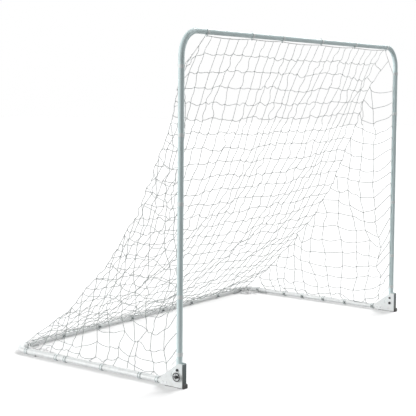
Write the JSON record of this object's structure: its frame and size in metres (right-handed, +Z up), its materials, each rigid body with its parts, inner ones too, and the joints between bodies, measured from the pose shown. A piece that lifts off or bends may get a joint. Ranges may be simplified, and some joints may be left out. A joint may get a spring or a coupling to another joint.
{
  "type": "folding soccer goal",
  "caption": "Folding soccer goal: round-cornered steel tube front frame pivoted on a rectangular ground frame, ring handles at the feet, white knotted net sagging to the back bar.",
  "frame": {"origin": "on the ground at the middle of the goal: midway between the uprights, and 0.59 m behind the plane of their axes", "axes": "X along the crossbar, right as seen by a player facing the mouth; +Y from the mouth back to the back bar; +Z up"},
  "size_m": [2.4586, 1.2659, 1.831],
  "materials": {
    "tube_paint": "light silver-grey powder coat, satin",
    "bracket_paint": "light grey powder coat, satin",
    "sleeve_steel": "plain steel tube, hidden inside the joints",
    "clip_plastic": "white moulded plastic",
    "net_cord": "white knotted cord net",
    "foot_rubber": "black rubber",
    "grey_rubber": "light grey rubber",
    "black_plastic": "black moulded plastic",
    "zinc_steel": "bright zinc-plated steel",
    "black_steel": "black oxide steel"
  },
  "bodies": {
    "base": {"back_bar_clips": "clip_plastic", "back_bar_left": "tube_paint", "back_bar_right": "tube_paint", "back_bar_sleeve": "sleeve_steel", "back_sleeve_left": "sleeve_steel", "back_sleeve_right": "sleeve_steel", "bar_plug_left": "black_plastic", "bar_plug_right": "black_plastic", "base_screws": "zinc_steel", "bracket_rivets_left": "zinc_steel", "bracket_rivets_right": "zinc_steel", "corner_bracket_left": "bracket_paint", "corner_bracket_right": "bracket_paint", "front_foot_left": "foot_rubber", "front_foot_right": "foot_rubber", "knob_washer_left": "zinc_steel", "knob_washer_right": "zinc_steel", "net_lower": "net_cord", "pivot_bolt_left": "black_steel", "pivot_bolt_right": "black_steel", "rear_corner_left": "tube_paint", "rear_corner_right": "tube_paint", "rear_foot_left": "grey_rubber", "rear_foot_right": "grey_rubber", "side_bar_clips_left": "clip_plastic", "side_bar_clips_right": "clip_plastic", "side_bar_left": "tube_paint", "side_bar_right": "tube_paint", "side_sleeve_left": "sleeve_steel", "side_sleeve_right": "sleeve_steel"},
    "front_frame": {"corner_sleeve_left": "sleeve_steel", "corner_sleeve_right": "sleeve_steel", "crossbar_clips": "clip_plastic", "crossbar_left": "tube_paint", "crossbar_right": "tube_paint", "crossbar_sleeve": "sleeve_steel", "frame_screws": "zinc_steel", "net_upper": "net_cord", "pivot_bush_left": "zinc_steel", "pivot_bush_right": "zinc_steel", "stop_stud_left": "black_steel", "stop_stud_right": "black_steel", "top_corner_left": "tube_paint", "top_corner_right": "tube_paint", "upright_clips_left": "clip_plastic", "upright_clips_right": "clip_plastic", "upright_left": "tube_paint", "upright_plug_left": "black_plastic", "upright_plug_right": "black_plastic", "upright_right": "tube_paint", "upright_sleeve_left": "sleeve_steel", "upright_sleeve_right": "sleeve_steel"},
    "knob_left": {"clamp_knob_left": "black_plastic"},
    "knob_right": {"clamp_knob_right": "black_plastic"}
  },
  "joints": [
    {"name": "frame_fold", "type": "hinge", "parent": "base", "child": "front_frame", "pos_m": [0, -0.59, 0.058], "axis": [-1, 0, 0], "range_deg": [0, 90], "deforming": ["net_upper", "net_lower"]},
    {"name": "knob_left_turn", "type": "hinge", "parent": "base", "child": "knob_left", "pos_m": [-1.2245, -0.59, 0.058], "axis": [-1, 0, 0], "range_deg": [0, 360]},
    {"name": "knob_right_turn", "type": "hinge", "parent": "base", "child": "knob_right", "pos_m": [1.2245, -0.59, 0.058], "axis": [1, 0, 0], "range_deg": [0, 360]}
  ]
}
